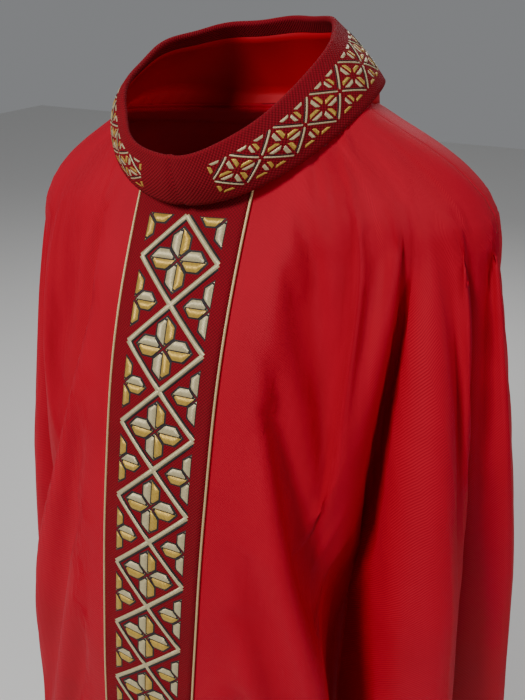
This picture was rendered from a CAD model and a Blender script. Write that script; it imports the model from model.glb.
# %% [markdown]
# # A chasuble, dressed from a cloth simulation
# A chasuble is the wide outer vestment of a church service: one broad cloth with a hole for
# the head, a stand collar, and an embroidered strip, the orphrey, down the front and the back.
# This lesson builds its looks round a fixed CAD frame. The cloth is one grid that hangs from
# the shoulders and is then simulated; everything sewn onto it is laid on the same surface.

# %% The frame
import math

import bmesh
import bpy
import numpy as np
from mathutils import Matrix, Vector


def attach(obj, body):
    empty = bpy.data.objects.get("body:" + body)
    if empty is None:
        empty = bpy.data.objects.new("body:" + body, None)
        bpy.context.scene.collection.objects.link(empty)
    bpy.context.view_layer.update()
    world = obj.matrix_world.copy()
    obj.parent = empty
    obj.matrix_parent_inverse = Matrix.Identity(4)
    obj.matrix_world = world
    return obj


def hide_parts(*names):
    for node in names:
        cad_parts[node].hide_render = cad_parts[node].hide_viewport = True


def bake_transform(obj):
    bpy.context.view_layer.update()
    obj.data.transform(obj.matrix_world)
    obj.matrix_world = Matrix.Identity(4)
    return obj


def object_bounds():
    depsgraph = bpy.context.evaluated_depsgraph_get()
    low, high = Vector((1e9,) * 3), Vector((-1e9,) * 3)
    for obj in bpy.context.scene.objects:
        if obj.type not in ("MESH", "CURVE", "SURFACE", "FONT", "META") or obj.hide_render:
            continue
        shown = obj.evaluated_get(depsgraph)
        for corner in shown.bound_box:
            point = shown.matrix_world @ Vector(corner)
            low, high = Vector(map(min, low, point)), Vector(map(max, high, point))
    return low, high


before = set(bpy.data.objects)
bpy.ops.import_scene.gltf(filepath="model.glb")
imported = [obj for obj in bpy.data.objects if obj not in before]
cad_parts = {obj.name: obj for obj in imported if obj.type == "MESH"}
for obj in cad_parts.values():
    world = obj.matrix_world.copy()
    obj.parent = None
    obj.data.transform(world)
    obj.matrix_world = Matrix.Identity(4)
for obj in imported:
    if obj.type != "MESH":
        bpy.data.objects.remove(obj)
CAD_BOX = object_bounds()
bpy.ops.object.select_all(action="DESELECT")
print("CAD box", CAD_BOX)

# %% [markdown]
# ## The room
# A plain pale floor and a pale wall of light let the red speak for itself. The garment hangs
# at its mount, so the floor lies a hand's width below the hem. Big soft lamps stand high on
# both sides, because cloth shows its folds in light that grazes it.

# %% Floor, world and lamps
FLOOR_DROP = 0.16
bpy.ops.mesh.primitive_plane_add(size=14, location=(0, 0, CAD_BOX[0][2] - FLOOR_DROP))
floor = bpy.context.object
floor.name = "floor"
floor_paint = bpy.data.materials.new("pale_floor")
floor_paint.use_nodes = True
floor_paint.node_tree.nodes["Principled BSDF"].inputs["Base Color"].default_value = (.78, .77, .75, 1)
floor_paint.node_tree.nodes["Principled BSDF"].inputs["Roughness"].default_value = 0.8
floor.data.materials.append(floor_paint)

world = bpy.data.worlds.new("soft_room")
bpy.context.scene.world = world
world.use_nodes = True
world.node_tree.nodes["Background"].inputs["Color"].default_value = (0.9, 0.92, 0.95, 1)
world.node_tree.nodes["Background"].inputs["Strength"].default_value = 0.24


def lamp(name, place, target, size, watts):
    """A square soft lamp at a place, turned towards a target."""
    light = bpy.data.lights.new(name, "AREA")
    light.size, light.energy = size, watts
    holder = bpy.data.objects.new(name, light)
    bpy.context.scene.collection.objects.link(holder)
    holder.location = place
    holder.rotation_euler = (Vector(target) - Vector(place)).to_track_quat("-Z", "Y").to_euler()
    return holder


lamp("key_lamp", (-0.9, -2.1, 1.5), (0, 0, -0.3), 0.8, 86)
lamp("side_lamp", (2.3, -0.3, 1.3), (0, 0, -0.4), 0.9, 26)
lamp("back_lamp", (-0.4, 2.4, 1.4), (0, 0, -0.3), 1.6, 34)

# %% The camera
CAMERA_PLACE = (0.2695, -0.5086, 0.1006)
CAMERA_YAW, CAMERA_PITCH, CAMERA_ROLL = 25.5, 30.3, 0.0
SENSOR_HEIGHT, CAMERA_FOCAL = 36, 31.8857        # millimetres
camera = bpy.data.objects.new("camera", bpy.data.cameras.new("camera"))
bpy.context.scene.collection.objects.link(camera)
bpy.context.scene.camera = camera
camera.location = CAMERA_PLACE
camera.rotation_euler = [math.radians(a) for a in (90 - CAMERA_PITCH, CAMERA_ROLL, CAMERA_YAW)]
camera.data.sensor_fit = "VERTICAL"
camera.data.sensor_height = SENSOR_HEIGHT
camera.data.lens = CAMERA_FOCAL
camera.data.clip_start = 0.02
print("camera", tuple(camera.location))

# %% [markdown]
# ## How the cloth hangs
# The outside of the garment is described the way a pattern cutter pins it on a stand: at each
# height, how far it reaches to the side, to the front and to the back. Between those heights
# the line is smoothed. A place on the cloth is then two numbers: the angle round the wearer,
# from the middle of the front, and how far down the cloth it lies.

# %% The hanging profile
MM = 0.001
STATIONS = np.array([        # height, half width, front depth, back depth
    (14, 112, 30, 98), (2, 136, 43, 122), (-18, 180, 60, 140), (-42, 224, 75, 152),
    (-66, 244, 89, 161), (-126, 262, 122, 178), (-197, 276, 150, 192), (-344, 300, 188, 205),
    (-520, 330, 222, 216), (-740, 366, 254, 230), (-1000, 392, 284, 250),
    (-1270, 408, 306, 268),
]) * MM
SAMPLES, SMOOTHING = 900, 25             # rows of the table, and how many each way are averaged


def smooth_profile():
    """The stations as a fine table: distance down the cloth, then the four measures."""
    steps = np.hypot(np.diff(STATIONS[:, 0]), np.diff(STATIONS[:, 1:3].mean(1)))
    at = np.concatenate([[0], np.cumsum(steps)])
    down = np.linspace(0, at[-1], SAMPLES)
    table = np.stack([np.interp(down, at, column) for column in STATIONS.T], 1)
    kernel = np.ones(2 * SMOOTHING + 1) / (2 * SMOOTHING + 1)
    for _ in range(2):
        before = 2 * table[:1] - table[SMOOTHING:0:-1]
        after = 2 * table[-1:] - table[-2:-SMOOTHING - 2:-1]
        padded = np.concatenate([before, table, after])
        table = np.stack([np.convolve(c, kernel, "valid") for c in padded.T], 1)
    return down, table


DOWN, PROFILE = smooth_profile()
NECK_HALF_WIDTH, NECK_HALF_DEPTH, NECK_Y = 0.115, 0.097, 0.024
HEM_SIDE, HEM_CENTRE, HEM_FRONT_Y, HEM_BACK_Y = -0.620, -1.235, -0.303, 0.265
# each fold: its angle at the shoulder and at the foot, half width, and depth at the foot.
# Positive angles are the wearer's left, whose side has one deep fold in front of the arm.
FOLDS = (
    (22, 26, 10, -0.006), (42, 31, 9, 0.014), (60, 44, 6.0, -0.105), (67, 57, 6, 0.026),
    (73, 70, 4, -0.042), (82, 83, 5, 0.030), (98, 98, 8, -0.060), (113, 112, 9, 0.010),
    (130, 128, 11, -0.022), (151, 150, 12, 0.006),
    (-30, -24, 10, -0.006), (-55, -37, 8, 0.022), (-68, -53, 7, -0.048), (-84, -80, 7, 0.022),
    (-101, -100, 8, -0.036), (-119, -118, 10, 0.010), (-139, -138, 10, -0.020),
    (-156, -155, 10, 0.006),
)
FOLD_START, FOLD_FULL = 0.075, 0.46      # where folds begin and are full, down the cloth
EVEN_SHARE, ONSET = 0.35, 1.2            # how much of a fold grows evenly, and how softly it starts
LEAN, LEAN_FADE = 0.075, 0.42            # the wearer's left shoulder sits a little higher
RIGHT_TUCK, TUCK_WIDTH = 0.08, 0.25      # and the right side hangs closer to the body
TUCK_TOP, LEAN_MOST = 0.06, 1.3


def fold_height(turn, down):
    """How far the folds push the cloth out, in metres."""
    growth = np.clip((down - FOLD_START) / (FOLD_FULL - FOLD_START), 0, 1)
    curved = np.sin(growth * np.pi / 2) ** ONSET
    growth = EVEN_SHARE * growth + (1 - EVEN_SHARE) * curved
    degrees = np.degrees((turn + np.pi) % (2 * np.pi) - np.pi)
    swell = np.zeros_like(degrees)
    for top, foot, half, depth in FOLDS:
        centre = top + (foot - top) * growth
        swell += depth * np.exp(-((degrees - centre) / half) ** 2)
    return swell * growth


def hang(turn, down):
    """Points of the cloth's outside at angles and distances down it."""
    turn, down = np.broadcast_arrays(np.asarray(turn, float), np.asarray(down, float))
    z, half, front, back = [np.interp(down, DOWN, c) for c in PROFILE.T]
    depth = np.where(np.cos(turn) > 0, front, back)
    swell = fold_height(turn, down)
    points = np.stack([(half + swell) * np.sin(turn), -(depth + swell) * np.cos(turn), z], -1)
    return leaning(points)


def leaning(points):
    """The way the garment sits on the stand: one shoulder higher, less so further down."""
    points = np.array(points, float)
    upper = np.clip(1 + points[..., 2] / LEAN_FADE, 0, LEAN_MOST)
    right = np.clip(-points[..., 0] / TUCK_WIDTH, 0, 1)
    below_neck = np.clip(-points[..., 2] / TUCK_TOP, 0, 1)
    points[..., 2] += LEAN * points[..., 0] * upper
    points[..., 0] *= 1 - RIGHT_TUCK * right * upper * below_neck
    return points


def hem_height(y):
    middle, half = (HEM_FRONT_Y + HEM_BACK_Y) / 2, (HEM_BACK_Y - HEM_FRONT_Y) / 2
    return HEM_SIDE + (HEM_CENTRE - HEM_SIDE) * ((y - middle) / half) ** 2


def cloth_limits(turns):
    """For each angle, how far down the cloth its neckline and its hem lie."""
    points = hang(turns[:, None], DOWN[None, :])
    outside = ((points[..., 0] / NECK_HALF_WIDTH) ** 2
               + ((points[..., 1] - NECK_Y) / NECK_HALF_DEPTH) ** 2) > 1
    past_hem = points[..., 2] < hem_height(points[..., 1])
    past_hem[:, -1] = True
    return DOWN[outside.argmax(1)], DOWN[past_hem.argmax(1)]


print("profile", len(DOWN), "samples,", round(float(DOWN[-1]), 3), "m long")

# %% [markdown]
# ## The cloth sheet
# The whole body of the garment is one grid first, so that a fold can cross a seam. Its columns
# run from the neckline to the hem, and its rows go round the wearer. It could be draped from a
# flat cut, but the folds would then fall anywhere; starting near the finished shape and letting
# the simulation settle it gives real slack and soft edges where this garment has them.

# %% The grid round the wearer
COLUMNS, ROWS = ((232, 116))
PINNED_HALF = 0.075          # the middle of the front and the back is stiffened by its strip


def cloth_grid():
    turns = np.linspace(0, 2 * np.pi, COLUMNS, endpoint=False)
    neck, hem = cloth_limits(turns)
    share = np.linspace(0, 1, ROWS)
    down = neck[:, None] + (hem - neck)[:, None] * share[None, :]
    return hang(turns[:, None], down)


GRID = cloth_grid()
corner = np.arange(COLUMNS * ROWS).reshape(COLUMNS, ROWS)
beside = np.roll(corner, -1, axis=0)
QUADS = np.stack([corner[:, :-1], corner[:, 1:], beside[:, 1:], beside[:, :-1]], -1).reshape(-1, 4)
sheet_mesh = bpy.data.meshes.new("cloth_sheet")
sheet_mesh.from_pydata(GRID.reshape(-1, 3).tolist(), [], QUADS.tolist())
cloth_sheet = bpy.data.objects.new("cloth_sheet", sheet_mesh)
bpy.context.scene.collection.objects.link(cloth_sheet)
print("cloth grid", COLUMNS, "by", ROWS)

# %% [markdown]
# ## Settling it
# The neckline and the stiff middle strips are pinned. The rest is held loosely to the hanging
# shape and is a little larger than the grid, so gravity settles it over a hidden bust without
# moving its folds far. The bust is only for the simulation and is removed afterwards.

# %% The hidden bust and the simulation
FRAMES, CONTACT = 14, 0.004
BUST_SIDES, BUST_STEP = 64, 12
BUST_INSET, BUST_DROP = 0.009, 0.006     # how far the bust stays inside the cloth
WAIST_TOP, WAIST_SPAN, WAIST_HALF = 0.06, 0.20, 0.19
WAIST_FRONT, WAIST_BACK = 0.10, 0.08     # how much further inside it is at the waist
PIN_FADE, NECK_ROWS = 0.03, 3
HELD = 0.12                  # how firmly the rest is held to its place, from 0 to 1


def bust():
    """A smooth body inside the cloth, for it to rest on."""
    turns = np.linspace(0, 2 * np.pi, BUST_SIDES, endpoint=False)
    rows = DOWN[::BUST_STEP]
    z, half, front, back = [np.interp(rows, DOWN, c) for c in PROFILE.T]
    waist = np.clip((-WAIST_TOP - z) / WAIST_SPAN, 0, 1)
    half = half - BUST_INSET - waist * (half - WAIST_HALF).clip(0)
    front = front - BUST_INSET - WAIST_FRONT * waist
    back = back - BUST_INSET - WAIST_BACK * waist
    depth = np.where(np.cos(turns)[:, None] > 0, front[None], back[None])
    points = np.stack([half[None] * np.sin(turns)[:, None],
                       -depth * np.cos(turns)[:, None],
                       np.broadcast_to(z - BUST_DROP, depth.shape)], -1)
    points = leaning(points)
    count = len(rows)
    at = np.arange(BUST_SIDES * count).reshape(BUST_SIDES, count)
    step = np.roll(at, -1, axis=0)
    faces = np.stack([at[:, :-1], at[:, 1:], step[:, 1:], step[:, :-1]], -1).reshape(-1, 4)
    mesh = bpy.data.meshes.new("bust")
    mesh.from_pydata(points.reshape(-1, 3).tolist(), [], faces.tolist())
    body = bpy.data.objects.new("bust", mesh)
    bpy.context.scene.collection.objects.link(body)
    return body


def settle(sheet):
    """Runs the cloth simulation on the sheet and applies it."""
    stand = bust()
    stand.modifiers.new("collision", "COLLISION")
    stand.collision.thickness_outer = CONTACT
    points = GRID.reshape(-1, 3)
    pins = sheet.vertex_groups.new(name="pinned")
    middle = np.clip((PINNED_HALF + PIN_FADE - np.abs(points[:, 0])) / PIN_FADE, 0, 1)
    neckline = np.tile(np.clip(1 - np.arange(ROWS) / NECK_ROWS, 0, 1), COLUMNS)
    for index, weight in enumerate(np.maximum(np.maximum(middle, neckline), HELD)):
        pins.add([index], float(weight), "REPLACE")
    cloth = sheet.modifiers.new("cloth", "CLOTH")
    cloth.settings.quality = 7
    cloth.settings.mass = 0.25
    cloth.settings.tension_stiffness = cloth.settings.compression_stiffness = 18
    cloth.settings.shear_stiffness = 8
    cloth.settings.bending_stiffness = 1.2
    cloth.settings.air_damping = 2.5
    cloth.settings.shrink_min = -0.012
    cloth.settings.vertex_group_mass = "pinned"
    cloth.collision_settings.distance_min = CONTACT
    cloth.collision_settings.use_self_collision = False
    cloth.point_cache.frame_end = FRAMES
    for number in range(1, FRAMES + 1):
        bpy.context.scene.frame_set(number)
    bpy.context.view_layer.objects.active = sheet
    bpy.ops.object.modifier_apply(modifier="cloth")
    bpy.data.objects.remove(stand)
    bpy.context.scene.frame_set(1)


settle(cloth_sheet)
settled = np.array([v.co for v in cloth_sheet.data.vertices]).reshape(COLUMNS, ROWS, 3)
print("moved by up to", round(float(np.abs(settled - GRID).max()), 3), "m")

# %% [markdown]
# ## Finishes
# Every finish here is thread, so the patterns read each piece's own UV map, which is laid out
# in metres along its threads. Two small node groups are shared: one draws woven ribs, the other
# draws the close parallel stitches of satin embroidery.

# %% Node helpers
def new_finish(name):
    """A material with its shader, ready for nodes."""
    finish = bpy.data.materials.new(name)
    finish.use_nodes = True
    return finish, finish.node_tree.nodes, finish.node_tree.links


def group_sockets(group, inputs, outputs):
    for name, kind, value in inputs:
        socket = group.interface.new_socket(name, in_out="INPUT", socket_type=kind)
        socket.default_value = value
    for name, kind in outputs:
        group.interface.new_socket(name, in_out="OUTPUT", socket_type=kind)
    return group.nodes.new("NodeGroupInput"), group.nodes.new("NodeGroupOutput")


def math_node(nodes, links, operation, a, b=None):
    node = nodes.new("ShaderNodeMath")
    node.operation = operation
    for socket, value in zip(node.inputs, (a, b)):
        if value is None:
            continue
        if isinstance(value, (int, float)):
            socket.default_value = value
        else:
            links.new(value, socket)
    return node.outputs[0]


def ribs(nodes, links, coordinate, period):
    """A wave from 0 to 1 along a coordinate, one crest in each period."""
    turns = math_node(nodes, links, "DIVIDE", coordinate, period)
    wave = math_node(nodes, links, "SINE", math_node(nodes, links, "MULTIPLY", turns, 2 * math.pi))
    return math_node(nodes, links, "MULTIPLY_ADD", wave, 0.5)


def make_weave_group():
    """Woven ribs: a height, a light-and-dark mask and a broad unevenness."""
    group = bpy.data.node_groups.new("woven_threads", "ShaderNodeTree")
    nodes, links = group.nodes, group.links
    inputs, outputs = group_sockets(
        group,
        [("Pitch", "NodeSocketFloat", 0.002), ("Basket", "NodeSocketFloat", 0.0)],
        [("Height", "NodeSocketFloat"), ("Broad", "NodeSocketFloat")])
    uv = nodes.new("ShaderNodeUVMap")
    uv.uv_map = "threads"
    split = nodes.new("ShaderNodeSeparateXYZ")
    links.new(uv.outputs[0], split.inputs[0])
    across, along = split.outputs[0], split.outputs[1]
    pitch = inputs.outputs["Pitch"]
    diagonal = math_node(nodes, links, "ADD", across, along)
    twill = ribs(nodes, links, diagonal, pitch)
    basket = math_node(nodes, links, "MULTIPLY",
                       math_node(nodes, links, "SUBTRACT", ribs(nodes, links, across, pitch), 0.5),
                       math_node(nodes, links, "SUBTRACT", ribs(nodes, links, along, pitch), 0.5))
    basket = math_node(nodes, links, "MULTIPLY_ADD", basket, 2.0)
    nodes[-1].inputs[2].default_value = 0.5
    mix = nodes.new("ShaderNodeMix")
    links.new(inputs.outputs["Basket"], mix.inputs["Factor"])
    links.new(twill, mix.inputs["A"])
    links.new(basket, mix.inputs["B"])
    links.new(mix.outputs["Result"], outputs.inputs["Height"])
    noise = nodes.new("ShaderNodeTexNoise")
    noise.inputs["Scale"].default_value = 9
    noise.inputs["Detail"].default_value = 5
    links.new(uv.outputs[0], noise.inputs["Vector"])
    links.new(noise.outputs["Fac"], outputs.inputs["Broad"])
    return group


def make_satin_group():
    """Satin stitch: close threads across U, with small breaks along V."""
    group = bpy.data.node_groups.new("satin_stitch", "ShaderNodeTree")
    nodes, links = group.nodes, group.links
    inputs, outputs = group_sockets(
        group,
        [("Pitch", "NodeSocketFloat", 0.001)],
        [("Height", "NodeSocketFloat"), ("Broad", "NodeSocketFloat")])
    uv = nodes.new("ShaderNodeUVMap")
    uv.uv_map = "threads"
    stretch = nodes.new("ShaderNodeMapping")
    stretch.inputs["Scale"].default_value = (1.0, 0.12, 1.0)
    links.new(uv.outputs[0], stretch.inputs["Vector"])
    noise = nodes.new("ShaderNodeTexNoise")
    noise.inputs["Scale"].default_value = 900
    noise.inputs["Detail"].default_value = 2
    links.new(stretch.outputs[0], noise.inputs["Vector"])
    split = nodes.new("ShaderNodeSeparateXYZ")
    links.new(uv.outputs[0], split.inputs[0])
    wave = ribs(nodes, links, split.outputs[0], inputs.outputs["Pitch"])
    height = math_node(nodes, links, "MULTIPLY_ADD", wave, 0.6)
    links.new(math_node(nodes, links, "MULTIPLY", noise.outputs["Fac"], 0.5), nodes[-2].inputs[2])
    links.new(height, outputs.inputs["Height"])
    links.new(noise.outputs["Fac"], outputs.inputs["Broad"])
    return group


WEAVE, SATIN = make_weave_group(), make_satin_group()
print("groups", WEAVE.name, SATIN.name)


# %% The finishes
def thread_finish(name, group, dark, light, bump, pitch, basket=None, rough=0.7, metal=0.0,
                  sheen=0.0, sheen_tint=(1, 1, 1, 1), depth=0.0004):
    """A finish whose colour and relief follow one of the two thread groups."""
    finish, nodes, links = new_finish(name)
    shader = nodes["Principled BSDF"]
    threads = nodes.new("ShaderNodeGroup")
    threads.node_tree = group
    threads.inputs["Pitch"].default_value = pitch
    if basket is not None:
        threads.inputs["Basket"].default_value = basket
    ramp = nodes.new("ShaderNodeMix")
    ramp.data_type = "RGBA"
    ramp.inputs["A"].default_value = (*dark, 1)
    ramp.inputs["B"].default_value = (*light, 1)
    blend = math_node(nodes, links, "MULTIPLY",
                      math_node(nodes, links, "ADD", threads.outputs["Height"],
                                threads.outputs["Broad"]), 0.5)
    links.new(blend, ramp.inputs["Factor"])
    links.new(ramp.outputs["Result"], shader.inputs["Base Color"])
    relief = nodes.new("ShaderNodeBump")
    relief.inputs["Strength"].default_value = bump
    relief.inputs["Distance"].default_value = depth
    links.new(threads.outputs["Height"], relief.inputs["Height"])
    links.new(relief.outputs["Normal"], shader.inputs["Normal"])
    uneven = math_node(nodes, links, "MULTIPLY_ADD", threads.outputs["Broad"], 0.16)
    nodes[-1].inputs[2].default_value = rough - 0.08
    links.new(uneven, shader.inputs["Roughness"])
    shader.inputs["Metallic"].default_value = metal
    shader.inputs["Sheen Weight"].default_value = sheen
    shader.inputs["Sheen Roughness"].default_value = 0.45
    shader.inputs["Sheen Tint"].default_value = sheen_tint
    shader.inputs["Specular IOR Level"].default_value = 0.35 if metal else 0.12
    return finish


RED_TWILL = thread_finish("red_twill", WEAVE, (0.24, 0.000, 0.007), (0.50, 0.001, 0.020), 0.45,
                          0.0026, 0.0, 0.62, sheen=0.04, sheen_tint=(1.0, 0.15, 0.2, 1))
RED_HOPSACK = thread_finish("red_hopsack", WEAVE, (0.07, 0.001, 0.004), (0.28, 0.004, 0.011), 0.9,
                            0.0030, 1.0, 0.85, depth=0.0007)
RED_LINING = thread_finish("red_lining", WEAVE, (0.30, 0.001, 0.007), (0.42, 0.002, 0.011), 0.15,
                           0.0012, 1.0, 0.6)
RED_TAPE = thread_finish("red_tape", WEAVE, (0.35, 0.006, 0.014), (0.48, 0.012, 0.022), 0.4,
                         0.0016, 1.0, 0.75)
SILVER = thread_finish("silver_thread", SATIN, (0.26, 0.21, 0.10), (0.66, 0.57, 0.33), 0.6,
                       0.0011, rough=0.40, metal=0.35)
GOLD = thread_finish("gold_thread", SATIN, (0.28, 0.16, 0.02), (0.66, 0.43, 0.08), 0.6,
                     0.0011, rough=0.38, metal=0.45)
BLACK = thread_finish("black_thread", SATIN, (0.006, 0.005, 0.006), (0.035, 0.03, 0.032), 0.5,
                      0.0010, rough=0.5)
CORD_GOLD = thread_finish("gold_cord", SATIN, (0.34, 0.20, 0.08), (0.80, 0.60, 0.30), 0.8,
                          0.0022, rough=0.42, metal=0.4)
print("finishes", [m.name for m in (RED_TWILL, RED_HOPSACK, RED_LINING, SILVER, GOLD, BLACK)])

# %% [markdown]
# ## Sheets from grids
# A grid of points becomes a sheet of quads with a UV map in metres, so that its weave keeps
# one size all over. A Solidify modifier then gives it the thickness of the cloth.

# %% Grid helpers
def grid_piece(name, points, finish, closed=False, wall=0.0, inwards=True, start=0.0):
    """A sheet through a grid of points (columns, rows, 3), facing away from the wearer."""
    points = np.asarray(points, float)
    if closed:
        points = np.concatenate([points, points[:1]])
    columns, rows = points.shape[:2]
    at = np.arange(columns * rows).reshape(columns, rows)
    faces = np.stack([at[:-1, :-1], at[:-1, 1:], at[1:, 1:], at[1:, :-1]], -1).reshape(-1, 4)
    along = np.zeros((columns, rows))
    along[:, 1:] = np.cumsum(np.linalg.norm(np.diff(points, axis=1), axis=2), 1)
    across = np.zeros((columns, rows))
    widths = np.linalg.norm(np.diff(points, axis=0), axis=2)
    across[1:] = np.cumsum(widths.mean(1))[:, None]
    mesh = bpy.data.meshes.new(name)
    mesh.from_pydata(points.reshape(-1, 3).tolist(), [], faces.tolist())
    uv = mesh.uv_layers.new(name="threads")
    order = faces.reshape(-1)
    flat = np.stack([across.reshape(-1)[order] + start, along.reshape(-1)[order]], 1)
    uv.data.foreach_set("uv", flat.astype(np.float32).reshape(-1))
    mesh.materials.append(finish)
    piece = bpy.data.objects.new(name, mesh)
    bpy.context.scene.collection.objects.link(piece)
    if closed:
        weld = bmesh.new()
        weld.from_mesh(mesh)
        bmesh.ops.remove_doubles(weld, verts=weld.verts, dist=1e-6)
        weld.to_mesh(mesh)
        weld.free()
    for polygon in mesh.polygons:
        polygon.use_smooth = True
    if wall:
        thicken(piece, wall, inwards)
    return piece


def thicken(piece, wall, inwards=True):
    """Gives a sheet its thickness, to the wearer's side or away from it."""
    solid = piece.modifiers.new("cloth_thickness", "SOLIDIFY")
    solid.thickness = wall
    solid.offset = -1 if inwards else 1
    apply_modifiers(piece)


def apply_modifiers(piece):
    bpy.ops.object.select_all(action="DESELECT")
    bpy.context.view_layer.objects.active = piece
    piece.select_set(True)
    for modifier in list(piece.modifiers):
        bpy.ops.object.modifier_apply(modifier=modifier.name)
    piece.select_set(False)


# %% The four quarters of the cloth
CLOTH_WALL = 0.0013
quarter = COLUMNS // 4
QUARTERS = {
    ("front", "left"): range(0, quarter + 1),
    ("back", "left"): range(quarter, 2 * quarter + 1),
    ("back", "right"): range(2 * quarter, 3 * quarter + 1),
    ("front", "right"): range(3 * quarter, COLUMNS + 1),
}


def bend_with_arm(piece, side):
    """The piece follows the middle near the neck, and the lifted drape past the shoulder."""
    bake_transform(piece)


settled_ring = np.concatenate([settled, settled[:1]])
for (face, side), columns in QUARTERS.items():
    points = settled_ring[list(columns)]
    panel = grid_piece(f"{face}_{side}_cloth", points, RED_TWILL, wall=CLOTH_WALL)
    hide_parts(f"{face}_{side}_panel", f"{face}_{side}_drape")
    bend_with_arm(panel, side)
    print(panel.name, len(panel.data.vertices))

bpy.data.objects.remove(cloth_sheet)

# %% [markdown]
# ## The turned hem
# The lower edge is turned up inside by three centimetres and slip-stitched. From outside it
# shows only as a slightly firmer edge, but from below it is a neat second layer, so each
# quarter gets a band that follows its last rows, a hair inside them.

# %% Hems
HEM_DEPTH, HEM_INSET = 0.030, 0.0022


def inside_of(points, depth):
    """The same grid, moved towards the wearer's axis."""
    flat = points * (1, 1, 0)
    return points - depth * flat / np.linalg.norm(flat, axis=-1, keepdims=True)


def hem_band(points):
    """The last stretch of every column, down to the hem."""
    band = []
    for column in points:
        lengths = np.concatenate([[0], np.cumsum(np.linalg.norm(np.diff(column, axis=0), axis=1))])
        at = np.linspace(lengths[-1] - HEM_DEPTH, lengths[-1] - 0.0005, 5)
        band.append([[np.interp(a, lengths, c) for c in column.T] for a in at])
    return inside_of(np.array(band), HEM_INSET)


for (face, side), columns in QUARTERS.items():
    hem = grid_piece(f"{face}_{side}_hem", hem_band(settled_ring[list(columns)]), RED_TWILL,
                     wall=0.0008)
    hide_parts(f"{face}_hem_facing", f"{side}_drape_hem_facing")
    bend_with_arm(hem, side)
print("hems", 4)

# %% [markdown]
# ## The collar
# The collar is a stand of coarse basket weave over stiff interlining. It is shaped by two
# rims: a wide low one where it meets the shoulders, and a smaller high one that leans forward
# at the throat. The outer cloth rolls over the top and is turned down inside, where a smooth
# facing meets it. One seam at the centre front closes it.

# %% The collar's rims
# a rim: half width, half depth, centre y, then its height: mean, rise to the back, side fall
COLLAR_TOP = np.array((88.0, 98.0, -10.0, 41.75, 43.5, -10.25)) * MM
COLLAR_BOTTOM = np.array((123.0, 112.0, 18.0, -1.0, 30.0, -19.0)) * MM
COLLAR_COLUMNS = 144
COLLAR_WALL, ROLL_DEPTH = 0.0024, 0.016
SEAM_GROOVE, SEAM_HALF = 0.0016, 0.018
collar_turns = np.linspace(0, 2 * np.pi, COLLAR_COLUMNS, endpoint=False)


def rim(shape, turn):
    half_width, half_depth, centre_y, mean, rise, fall = shape
    return leaning(np.stack([half_width * np.sin(turn), centre_y - half_depth * np.cos(turn),
                             mean - rise * np.cos(turn) + fall * np.cos(2 * turn)], -1))


def collar_point(turn, share, out):
    """A point on the collar at an angle, a share of its height, and a distance outwards."""
    turn, share, out = np.broadcast_arrays(turn, share, out)
    bottom, top = rim(COLLAR_BOTTOM, turn), rim(COLLAR_TOP, turn)
    slant = top - bottom
    slant /= np.linalg.norm(slant, axis=-1, keepdims=True)
    level = np.stack([np.sin(turn), -np.cos(turn), 0 * turn], -1)
    outward = level - slant * (level * slant).sum(-1, keepdims=True)
    outward /= np.linalg.norm(outward, axis=-1, keepdims=True)
    crown = 0.0035 * np.sin(np.pi * np.clip(share, 0, 1)) + 0.0012 * np.sin(9 * turn) * share
    around = (turn + np.pi) % (2 * np.pi) - np.pi
    groove = SEAM_GROOVE * np.exp(-(around / SEAM_HALF) ** 2)
    return bottom + (top - bottom) * share[..., None] + outward * (out + crown - groove)[..., None]


def collar_height(turn):
    return np.linalg.norm(rim(COLLAR_TOP, turn) - rim(COLLAR_BOTTOM, turn), axis=-1)


# %% Its layers
column = collar_turns[:, None]
rise = collar_height(collar_turns)[:, None]
outside_rows = collar_point(column, np.linspace(0, 1, 15)[None, :-1], 0.0)
roll = np.linspace(-np.pi / 2, np.pi / 2, 7)[None, :]
roll_radius = COLLAR_WALL / 2 + 0.0006
roll_rows = collar_point(column, 1 + roll_radius * np.cos(roll) / rise,
                         -roll_radius * (1 + np.sin(roll)))
inside_share = 1 - np.linspace(0.1, 1, 5)[None, :] * ROLL_DEPTH / rise
inside_rows = collar_point(column, inside_share, -2 * roll_radius)
bottom_turn = collar_point(column, 0.004 + 0 * column, -2 * roll_radius)
collar = grid_piece("collar_outer_cloth",
                    np.concatenate([bottom_turn, outside_rows, roll_rows, inside_rows], 1),
                    RED_HOPSACK, closed=True, wall=0.0008)
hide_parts("collar_outer", "collar_top_roll", "collar_interlining")
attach(collar, "root")

facing_share = np.linspace(0, 1, 9)[None, :] * (1 - ROLL_DEPTH * 0.85 / rise)
facing_rows = collar_point(column, facing_share[:, ::-1], -2 * roll_radius - 0.0012)
neck_down, _ = cloth_limits(collar_turns)
neck_edge = inside_of(hang(collar_turns, neck_down + 0.004), 0.0016)[:, None]
allowance = facing_rows[:, -1:] + (neck_edge - facing_rows[:, -1:]) * np.linspace(
    0.25, 1, 4)[None, :, None]
facing = grid_piece("collar_facing_cloth", np.concatenate([facing_rows, allowance], 1)[:, ::-1],
                    RED_LINING, closed=True, wall=0.0006)
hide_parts("collar_facing")
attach(facing, "root")

neck_facing = grid_piece("neckline_facing", settled[:, :4] - (0, 0, 0.0036), RED_TWILL,
                         closed=True, wall=0.0006)
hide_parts("neck_facing")
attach(neck_facing, "root")
print("collar", len(collar.data.vertices), "points")

# %% [markdown]
# ## The tapes inside the shoulders
# A narrow woven tape is sewn along each shoulder seam, so that the bias cloth there doesn't
# stretch under its own weight.

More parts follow.
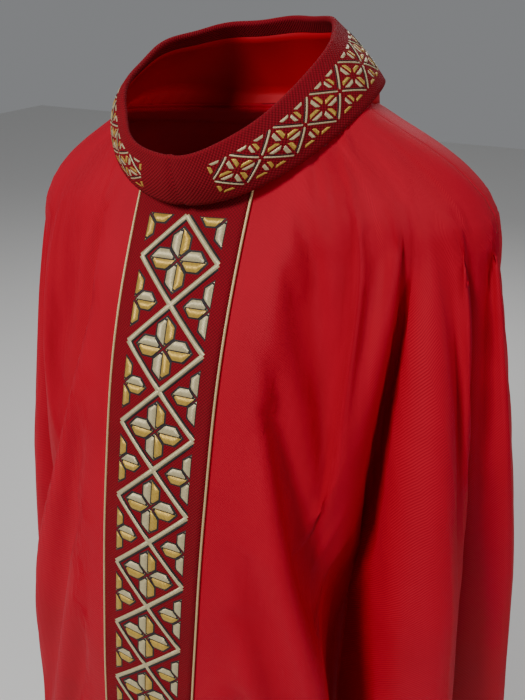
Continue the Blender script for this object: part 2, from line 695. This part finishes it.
# %% Shoulder tapes
TAPE_HALF, TAPE_ROWS = 0.012, 12
for side, column_index in (("left", quarter), ("right", 3 * quarter)):
    seam = settled_ring[column_index]
    lengths = np.concatenate([[0], np.cumsum(np.linalg.norm(np.diff(seam, axis=0), axis=1))])
    rows = []
    for length in np.linspace(0.030, 0.100, TAPE_ROWS):
        centre = [np.interp(length, lengths, c) for c in seam.T] - np.array((0, 0, 0.0034))
        rows.append([centre + np.array((0, offset, -abs(offset) * 0.3))
                     for offset in np.linspace(-TAPE_HALF, TAPE_HALF, 5)])
    tape = grid_piece(f"{side}_shoulder_seam_tape", np.array(rows), RED_TAPE, wall=0.0006)
    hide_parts(f"{side}_shoulder_tape")
    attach(tape, "root")
print("tapes", 2)

# %% [markdown]
# ## The orphreys
# The orphrey is a strip of the collar's basket weave, backed with interfacing, topstitched
# down the middle of the front and of the back and edged with gold cord. It lies on the pinned
# part of the cloth, so its place is known exactly: how far down from the neckline, and how
# far to one side.

# %% Places on a strip
STRIP_WIDTH, STRIP_LIFT, STRIP_WALL = 0.105, 0.0016, 0.0012
CORD_RADIUS = 0.0011


class Strip:
    """The middle of the front or of the back, as a surface to lay things on."""

    def __init__(self, face):
        self.front = face == "front"
        self.turn = 0.0 if self.front else np.pi
        line = hang(self.turn, DOWN)
        neck, hem = cloth_limits(np.array([self.turn]))
        steps = np.linalg.norm(np.diff(line, axis=0), axis=1)
        distance = np.concatenate([[0], np.cumsum(steps)])
        self.start = float(np.interp(neck[0], DOWN, distance))
        self.length = float(np.interp(hem[0], DOWN, distance)) - self.start
        self.distance = distance

    def surface(self, across, down):
        """Points on the cloth; across is towards the wearer's left, down from the neckline."""
        along = np.interp(down + self.start, self.distance, DOWN)
        half = np.interp(along, DOWN, PROFILE[:, 1])
        lean = np.arcsin(np.clip(across / half, -1, 1))
        return hang(lean if self.front else np.pi - lean, along)

    def lay(self, across, down, lift):
        """Points lifted off the cloth, square to it."""
        across, down, lift = np.broadcast_arrays(across, down, lift)
        tiny = 0.002
        side = self.surface(across + tiny, down) - self.surface(across - tiny, down)
        fall = self.surface(across, down + tiny) - self.surface(across, down - tiny)
        normal = np.cross(side, fall)
        normal /= np.linalg.norm(normal, axis=-1, keepdims=True)
        outward = -1.0 if self.front else 1.0
        normal *= np.sign((normal[..., 1:2]) * outward)
        return self.surface(across, down) + normal * lift[..., None]


def cord_between(name, points, radius, finish):
    """A tube of eight sides along a line of points, with threads that wind round it."""
    points = np.asarray(points)
    tangent = np.gradient(points, axis=0)
    tangent /= np.linalg.norm(tangent, axis=1, keepdims=True)
    side = np.cross(tangent, (0, 1, 0))
    side /= np.linalg.norm(side, axis=1, keepdims=True)
    up = np.cross(side, tangent)
    angles = np.linspace(0, 2 * np.pi, 9)
    ring = (np.cos(angles)[None, :, None] * side[:, None] + np.sin(angles)[None, :, None]
            * up[:, None]) * radius
    tube = (points[:, None] + ring).swapaxes(0, 1)[::-1]
    piece = grid_piece(name, tube, finish)
    weld = bmesh.new()
    weld.from_mesh(piece.data)
    bmesh.ops.remove_doubles(weld, verts=weld.verts, dist=1e-6)
    bmesh.ops.holes_fill(weld, edges=[e for e in weld.edges if e.is_boundary], sides=10)
    bmesh.ops.recalc_face_normals(weld, faces=weld.faces)
    weld.to_mesh(piece.data)
    weld.free()
    for loop in piece.data.uv_layers["threads"].data:
        across, along = loop.uv
        loop.uv = (along + across, across - along)
    return piece


STRIPS = {face: Strip(face) for face in ("front", "back")}
for face, strip in STRIPS.items():
    rows = np.linspace(0.0, strip.length, 200)
    edge = STRIP_WIDTH / 2
    across = np.linspace(-edge, edge, 17)
    points = strip.lay(across[:, None], rows[None, :], STRIP_LIFT)
    if not strip.front:
        points = points[::-1]
    orphrey = grid_piece(f"{face}_orphrey_cloth", points, RED_HOPSACK, wall=STRIP_WALL)
    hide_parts(f"{face}_orphrey", f"{face}_orphrey_interfacing")
    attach(orphrey, "root")
    for side, sign in (("right", -1), ("left", 1)):
        line = strip.lay(sign * (edge + CORD_RADIUS * 0.6), np.linspace(0, strip.length, 320),
                         STRIP_LIFT)
        edging = cord_between(f"{face}_{side}_edge_cord", line, CORD_RADIUS, CORD_GOLD)
        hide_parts(f"{face}_orphrey_{side}_cord")
        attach(edging, "root")
    print(face, "strip", round(strip.length, 3), "m")

# %% [markdown]
# ## Satin-stitched motifs
# The embroidery repeats one diamond: four bars, and a flower of four petals. Each petal is two
# halves whose threads meet in a rib, one half pale and one half gold, so the flower glints
# like a folded leaf. One small cushion of thread is modelled from a grid, domed in the middle,
# and every bar and half petal is a copy of it, stretched to its own four corners and laid on
# the strip.

# %% The pad of thread that everything is cut from
PAD_ALONG, PAD_ACROSS = 8, 4
bpy.ops.mesh.primitive_grid_add(x_subdivisions=PAD_ALONG, y_subdivisions=PAD_ACROSS, size=2,
                                location=(0, 0, 0))
pad = bpy.context.object
pad.name = "thread_pad"
bpy.ops.object.mode_set(mode="EDIT")
bpy.ops.mesh.select_all(action="SELECT")
bpy.ops.transform.resize(value=(0.5, 0.5, 1))
bpy.ops.transform.translate(value=(0.5, 0.5, 0))
bpy.ops.object.mode_set(mode="OBJECT")
PAD_POINTS = np.array([v.co for v in pad.data.vertices])
PAD_FACES = np.array([p.vertices for p in pad.data.polygons])
bpy.data.objects.remove(pad)
dome = np.clip(1 - (2 * PAD_POINTS[:, 1] - 1) ** 2, 0, 1) ** 0.5
dome *= np.clip(8 * np.minimum(PAD_POINTS[:, 0], 1 - PAD_POINTS[:, 0]), 0, 1) ** 0.5
print("pad", len(PAD_POINTS), "points", len(PAD_FACES), "faces")


class Threads:
    """Pads of one thread colour, gathered to become one piece."""

    def __init__(self, name, finish):
        self.name, self.finish = name, finish
        self.points, self.faces, self.uvs, self.count = [], [], [], 0

    def stitch(self, corners, place, height, slant=90):
        """One pad with corners (start near, end near, end far, start far), in metres."""
        a, b, c, d = np.asarray(corners, float)
        u, v = PAD_POINTS[:, :1], PAD_POINTS[:, 1:2]
        flat = a * (1 - u) * (1 - v) + b * u * (1 - v) + c * u * v + d * (1 - u) * v
        self.points.append(place(flat[:, 0], flat[:, 1], dome * height))
        axis = (b - a) / np.linalg.norm(b - a)
        angle = math.radians(slant)
        local = np.stack([(flat - a) @ axis, (flat - a) @ np.array((-axis[1], axis[0]))], 1)
        turn = np.array([[math.sin(angle), -math.cos(angle)], [math.cos(angle), math.sin(angle)]])
        self.uvs.append((local @ turn.T)[PAD_FACES].reshape(-1, 2))
        outline = place(*flat[[0, PAD_ALONG, -1]].T, np.zeros(3))
        facing = np.cross(outline[1] - outline[0], outline[2] - outline[0])
        outward = outline[0] * (1, 1, 0)
        faces = PAD_FACES if facing @ outward > 0 else PAD_FACES[:, ::-1]
        if faces is not PAD_FACES:
            self.uvs[-1] = self.uvs[-1].reshape(-1, 4, 2)[:, ::-1].reshape(-1, 2)
        self.faces.append(faces + self.count)
        self.count += len(PAD_POINTS)

    def sew(self):
        """The gathered pads as one object."""
        mesh = bpy.data.meshes.new(self.name)
        mesh.from_pydata(np.concatenate(self.points).tolist(), [],
                         np.concatenate(self.faces).tolist())
        uv = mesh.uv_layers.new(name="threads")
        uv.data.foreach_set("uv", np.concatenate(self.uvs).astype(np.float32).reshape(-1))
        mesh.materials.append(self.finish)
        piece = bpy.data.objects.new(self.name, mesh)
        bpy.context.scene.collection.objects.link(piece)
        for polygon in mesh.polygons:
            polygon.use_smooth = True
        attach(piece, "root")
        return piece


def thread_set(prefix):
    return {"silver": Threads(f"{prefix}_silver_lattice", SILVER),
            "black": Threads(f"{prefix}_black_outlines", BLACK),
            "pale": Threads(f"{prefix}_pale_petals", SILVER),
            "gold": Threads(f"{prefix}_gold_petals", GOLD)}


# %% The diamond and its flower
PETAL = np.array(((2.4, 0.3), (27.5, 0.3), (20.5, 8.8), (10.2, 8.8))) * MM
OUTLINE = np.array(((0.8, -0.2), (29.5, -0.2), (21.5, 9.9), (9.4, 9.9))) * MM
BAR, BLACK_LINE = 0.0042, 0.0018
PAD_HEIGHT, LINE_HEIGHT = 0.0011, 0.0006


def placed(corners, centre, degrees, size=1.0, flip=1):
    """Corners (along, across) turned by an angle about a centre (across strip, down strip)."""
    c, s = math.cos(math.radians(degrees)), math.sin(math.radians(degrees))
    points = np.array(corners) * size * (1, flip)
    return points @ np.array([[c, s], [-s, c]]) + np.array(centre)


def half_petal(threads, place, colour, centre, degrees, size, flip):
    threads["black"].stitch(placed(OUTLINE, centre, degrees, size, flip), place,
                            LINE_HEIGHT * size)
    threads[colour].stitch(placed(PETAL, centre, degrees, size, flip), place,
                           PAD_HEIGHT * size + LINE_HEIGHT * size, slant=flip * 55)


def flower(threads, place, centre, size, quarters=(0, 90, 180, 270)):
    """Petals at the given angles. 0 points to the wearer's left, 90 down the strip."""
    for degrees in quarters:
        for flip in (1, -1):
            normal = degrees + 90 * flip
            pale = normal % 360 in (180, 270)
            half_petal(threads, place, "pale" if pale else "gold", centre, degrees, size, flip)


def bar(threads, place, start, end, size, black_side):
    """A lattice bar between two crossings, with a black line along one side."""
    start, end = np.array(start), np.array(end)
    along = (end - start) / np.linalg.norm(end - start)
    out = np.array((-along[1], along[0]))
    half = BAR * size / 2
    threads["silver"].stitch([start - out * half, end - out * half, end + out * half,
                              start + out * half], place, PAD_HEIGHT, slant=75)
    near, far = out * half * black_side, out * (half + BLACK_LINE * size) * black_side
    inset = along * BAR * size * 0.5
    threads["black"].stitch([start + near + inset, end + near - inset, end + far - inset,
                             start + far + inset], place, PAD_HEIGHT)


def diamond(threads, place, top, half_width, half_height, size):
    """Four bars round a flower; top is its upper corner (across, down)."""
    x, y = top
    corners = ((x, y), (x + half_width, y + half_height), (x, y + 2 * half_height),
               (x - half_width, y + half_height))
    bar(threads, place, corners[0], corners[1], size, -1)
    bar(threads, place, corners[3], corners[2], size, -1)
    bar(threads, place, corners[0], corners[3], size, -1)
    bar(threads, place, corners[1], corners[2], size, -1)
    flower(threads, place, (x, y + half_height), size * 0.98)


def margin_flower(threads, place, centre, inward, size, up=True, down=True):
    """Half a flower at the strip's edge: one petal inwards, and half petals along the edge."""
    for flip in (1, -1):
        normal = inward + 90 * flip
        pale = normal % 360 in (180, 270)
        if (pale and not up) or (not pale and not down):
            continue
        half_petal(threads, place, "pale" if pale else "gold", centre, inward, size, flip)
    colour = "gold" if inward == 0 else "pale"
    if down:
        half_petal(threads, place, colour, centre, 90, size, -1 if inward == 0 else 1)
    if up:
        half_petal(threads, place, colour, centre, 270, size, 1 if inward == 0 else -1)


# %% Both orphreys' embroidery
FIRST_DIAMOND, DIAMOND_COUNT, MARGIN_SIZE = 0.0255, 16, 0.86
EMBROIDERY_LIFT = STRIP_LIFT + 0.0001
for face, strip in STRIPS.items():
    threads = thread_set(face)
    mirror = 1 if strip.front else -1

    def place(across, down, height, strip=strip, mirror=mirror):
        return strip.lay(across * mirror, down, height + EMBROIDERY_LIFT)

    pitch = (strip.length - FIRST_DIAMOND - 0.006) / DIAMOND_COUNT
    for number in range(DIAMOND_COUNT + 1):
        top = FIRST_DIAMOND + number * pitch
        for sign, inward in ((-1, 0), (1, 180)):
            margin_flower(threads, place, (sign * pitch / 2, top), inward, MARGIN_SIZE,
                          up=number > 0, down=number < DIAMOND_COUNT)
        if number < DIAMOND_COUNT:
            diamond(threads, place, (0, top), pitch / 2, pitch / 2, 1.0)
    for name, gathered in threads.items():
        piece = gathered.sew()
        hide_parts(f"{face}_orphrey_embroidery")
        print(piece.name, len(piece.data.polygons), "faces")

# %% [markdown]
# ## The collar's embroidery
# The collar carries the same lattice at three fifths of the size, in a band that starts about
# three centimetres from the front seam. It bends round the neck, so its places are an angle and
# a height.

# %% Places on the collar
COLLAR_DIAMONDS, COLLAR_SIZE = 8, 0.60
BAND_LOW, BAND_HIGH = 0.17, 0.83
BAND_START = 17.0
arc_turns = np.linspace(math.radians(BAND_START), np.pi, 400)
arc_points = collar_point(arc_turns, 0.5, 0.0)
arc = np.concatenate([[0], np.cumsum(np.linalg.norm(np.diff(arc_points, axis=0), axis=1))])
band_length = float(arc[-1])
print("collar band", round(band_length, 3), "m a side")

for side, sign in (("left", 1), ("right", -1)):
    threads = thread_set(f"collar_{side}")
    pitch = band_length / COLLAR_DIAMONDS

    def place(across, down, height, sign=sign):
        """Here down runs round the collar from the front, and across runs up its height."""
        turn = np.interp(down, arc, arc_turns)
        middle = (BAND_LOW + BAND_HIGH) / 2
        share = middle + across / pitch * (BAND_HIGH - BAND_LOW)
        return collar_point(sign * turn, share, height + 0.0002)

    for number in range(COLLAR_DIAMONDS + 1):
        top = number * pitch
        for edge_sign, inward in ((-1, 0), (1, 180)):
            margin_flower(threads, place, (edge_sign * pitch / 2, top), inward,
                          COLLAR_SIZE * MARGIN_SIZE, up=number > 0, down=number < COLLAR_DIAMONDS)
        if number < COLLAR_DIAMONDS:
            diamond(threads, place, (0, top), pitch / 2, pitch / 2, COLLAR_SIZE)
    for name, gathered in threads.items():
        piece = gathered.sew()
        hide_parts(f"collar_{side}_embroidery")
        print(piece.name, len(piece.data.polygons), "faces")
